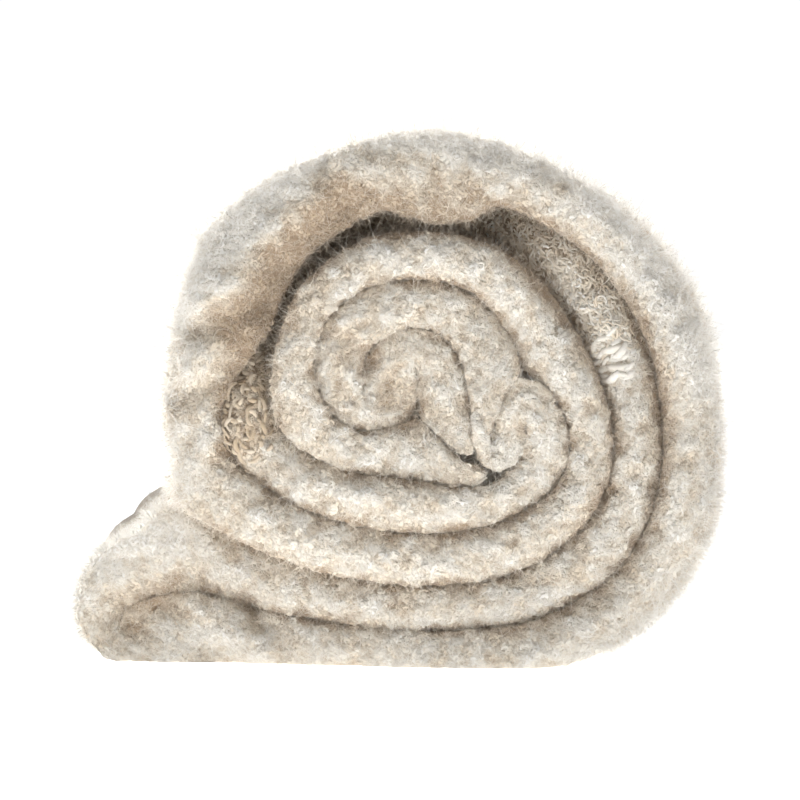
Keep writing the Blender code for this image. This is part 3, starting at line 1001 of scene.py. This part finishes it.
# Narrow beams on the front rim: place, target, beam angle, power.
lamps = {
    "rimLeft": ((-0.95, 0.02, 0.75), (-0.088, -0.335, 0.14), 11, 190),
    "rimTop": ((0.1, 0.06, 1.1), (0.01, -0.335, 0.20), 13, 170),
    "rimRight": ((1.0, 0.06, 0.5), (0.114, -0.335, 0.13), 12, 85),
    "rimTail": ((-0.95, 0.02, 0.55), (-0.105, -0.33, 0.055), 9, 80),
}
lampSize = 0.12
lampColour = (1, 0.985, 0.965)

# A white tent that is brighter behind the throw than in front of it. It brightens between the two
# values of turning, which are cosines of the angle to its brightest direction.
tent = {"towards": (-0.10, 0.99, -0.05), "turning": (-0.1, 0.9), "front": 0.345, "behind": 1.04}


def addLights():
    for name, (place, target, beam, power) in lamps.items():
        lamp = bpy.data.lights.new(name, "SPOT")
        lamp.spot_size = math.radians(beam)
        lamp.spot_blend = 1
        lamp.shadow_soft_size = lampSize
        lamp.energy = power
        lamp.color = lampColour
        aim(bpy.data.objects.new(name, lamp), place, target)
    world = bpy.data.worlds.new("studio")
    bpy.context.scene.world = world
    world.use_nodes = True
    tree = world.node_tree
    where = tree.nodes.new("ShaderNodeTexCoord").outputs["Generated"]
    facing = addNode(tree, "ShaderNodeVectorMath", {0: where, 1: tent["towards"]}, operation="DOT_PRODUCT")
    turning = dict(zip(("From Min", "From Max"), tent["turning"]))
    brightness = {"To Min": tent["front"], "To Max": tent["behind"]}
    given = {"Value": facing.outputs["Value"], **turning, **brightness}
    strength = addNode(tree, "ShaderNodeMapRange", given).outputs["Result"]
    tree.links.new(strength, tree.nodes["Background"].inputs["Strength"])
    tree.nodes["Background"].inputs["Color"].default_value = (1, 1, 1, 1)
    bpy.context.scene.view_settings.view_transform = "Standard"


addCamera()
addLights()
addFloor()

folded = roughen(foldedPlaces())
folded["nap"] = napWeight(folded)
folded["normals"] = surfaceNormals(folded["places"])
folded["alongs"] = np.gradient(folded["places"], axis=0)
flecks = fleckGroup()
cloth = addPiece("knitThrow", gridMesh("knitThrow", folded), clothMaterial(flecks))
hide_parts("throw_roll")
print("cloth", folded["deep"].shape, len(cloth.data.polygons), "faces")

napYarn = yarnMaterial("napWool", flecks, knitColours["nap"])
curlYarn = yarnMaterial("curlWool", flecks, knitColours["yarn"])
naps = {
    "shortNap": {
        "count": 50000, "steps": 2, "seed": 11, "length": (0.0014, 0.0038), "width": (0.00012, 0.00024),
        "lift": (0.1, 0.8), "curl": 0.7, "droop": (0.0, 0.35), "kink": 0.06, "unevenLight": 0.25,
        "shade": 0.40, "marlAndPaintedShading": 1.1, "mixed": 0.08,
        "weight": lambda f: f["nap"],
    },
    "fineNap": {
        "count": 45000, "steps": 2, "seed": 12, "length": (0.003, 0.0065), "width": (0.00008, 0.00016),
        "lift": (0.15, 0.9), "curl": 0.6, "droop": (0.1, 0.5), "kink": 0.06, "unevenLight": 0.2,
        "shade": 0.34, "marlAndPaintedShading": 1.0, "mixed": 0.08,
        "weight": lambda f: f["nap"] * (f["deep"] < 0.02) * (0.7 + f["free"] + 0.8 * f["cleft"]),
    },
    "longNap": {
        "count": 39000, "steps": 3, "seed": 13, "length": (0.0035, 0.0095), "width": (0.00007, 0.00013),
        "lift": (0.2, 1.2), "curl": 0.6, "droop": (0.0, 0.3), "kink": 0.04, "unevenLight": 0.2,
        "shade": 0.34, "marlAndPaintedShading": 0.9, "mixed": 0.06,
        "weight": lambda f: (
            f["nap"] * (f["deep"] < 0.03) * (0.5 + 0.4 * f["free"] + 1.4 * f["cleft"] + besideGap(f))
        ),
    },
    "rimNap": {
        "count": 30000, "steps": 2, "seed": 14, "length": (0.003, 0.0090), "width": (0.00009, 0.00018),
        "lift": (0.5, 1.4), "curl": 0.5, "droop": (0.0, 0.4), "kink": 0.05, "unevenLight": 0.3,
        # shade 0 paints the outline's fibres whiter: painted highlight where the rim light falls
        "shade": 0.0, "marlAndPaintedShading": 0.3, "mixed": 0.06,
        "weight": rimWeight,
    },
}
for name, style in naps.items():
    strandPiece(name, folded, style, napYarn)

curls = {
    "count": 12000, "steps": 4, "seed": 21, "radius": (0.0005, 0.0011), "sweep": (1.2, 3.0),
    "thickness": (0.0006, 0.0011), "rise": 0.0002, "sink": -0.0002, "rounded": 0.2,
    "shade": 0.42, "marlAndPaintedShading": 1.0, "mixed": 0.05,
    "weight": lambda f: f["nap"] * (f["deep"] < 0.016) * (1 - 0.7 * f["cleft"]),
}
curlPiece("yarnCurls", folded, curls, curlYarn)

barePatches = {
    "coarseStrip": {
        "count": 1500, "steps": 7, "seed": 22, "radius": (0.0009, 0.0024), "sweep": (0.8, 2.6),
        "thickness": (0.0006, 0.0011), "rise": 0.0005, "sink": -0.0002, "rounded": 0.8,
        "shade": 0.34, "marlAndPaintedShading": 0.2, "mixed": 0.14,
        "weight": lambda f: bareWeight(f, "coarseStrip"),
    },
    "loopedHem": {
        "count": 320, "steps": 8, "seed": 23, "radius": (0.0016, 0.0034), "sweep": (0.8, 2.4),
        "thickness": (0.0011, 0.0018), "rise": 0.0009, "sink": -0.0005, "rounded": 0.9,
        "shade": 0.74, "marlAndPaintedShading": 0.2, "mixed": 0.14,
        "weight": lambda f: bareWeight(f, "loopedHem"),
    },
}
for name, style in barePatches.items():
    curlPiece(name, folded, style, curlYarn)

# Columns are angles round the fold, where 0 faces the front.
stitches = {
    "rows": (43.15, 44.1), "columns": (-0.2, 0.25, 0.7, 1.1), "turnMix": 0.05,
    "pitch": 0.16, "pitchMix": (0.8, 1.3), "lean": 1.3, "leanMix": 0.14,
    "length": 0.0062, "sizes": (0.8, 1.25), "thickness": 0.0030, "thinnest": 0.4, "bow": 0.0005,
    "rise": 0.0006, "sink": -0.0007, "steps": 6, "shade": 0.14, "mixed": 0.03, "seed": 32,
}
stitchPiece("paleStitches", folded, stitches, curlYarn)
